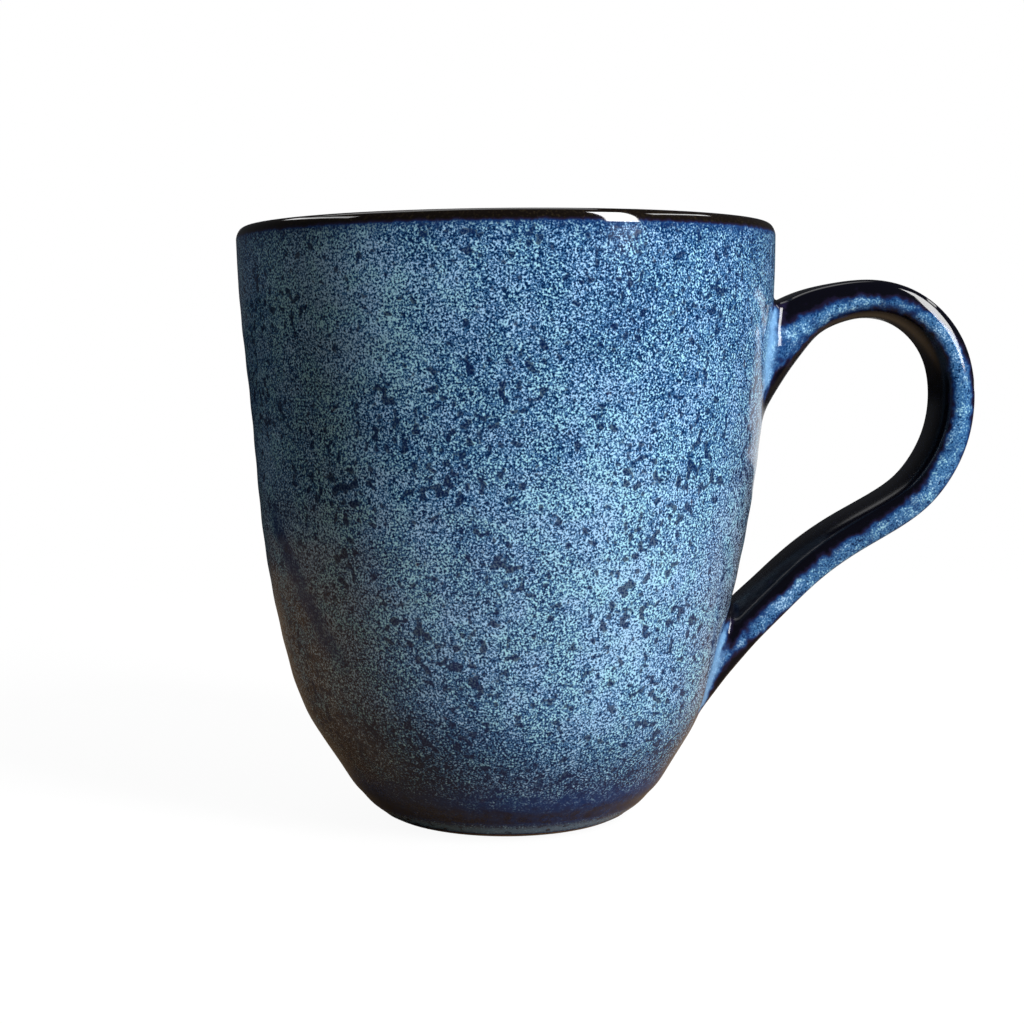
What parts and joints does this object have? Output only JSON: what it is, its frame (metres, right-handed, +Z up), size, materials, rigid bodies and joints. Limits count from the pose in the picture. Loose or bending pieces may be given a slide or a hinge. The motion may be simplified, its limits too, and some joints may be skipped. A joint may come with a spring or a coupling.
{
  "type": "ceramic mug",
  "caption": "Round-bottomed stoneware mug with a tall tapering cup and a looped strap handle, in glossy speckled glaze with a dark lip.",
  "frame": {"origin": "on the floor, below the middle of the box round the cup and its handle; the cup's axis is 17.05 mm towards -X", "axes": "+Z up from the foot to the lip; +X from the cup towards its handle; +Y is the left side, seen from behind the cup looking along +X"},
  "size_m": [0.1239, 0.09, 0.1],
  "materials": {
    "clay": "bare fired stoneware, warm brown, fine grit, matt",
    "slip": "fired joining slip, slightly paler than the clay, matt",
    "speckled_glaze": "glossy reactive glaze, fine pale blue mottle on navy, dark spots, breaking dark brown on edges",
    "dark_glaze": "glossy brown-black glaze where the coat runs thin over the lip",
    "liner_glaze": "glossy blue mottled glaze, darker towards the lip"
  },
  "bodies": {
    "root": {"cup_body": "clay", "handle_core": "clay", "upper_slip_joint": "slip", "lower_slip_joint": "slip", "outer_glaze": "speckled_glaze", "rim_glaze": "dark_glaze", "liner_glaze": "liner_glaze", "base_glaze": "liner_glaze", "handle_glaze": "speckled_glaze"}
  },
  "joints": []
}
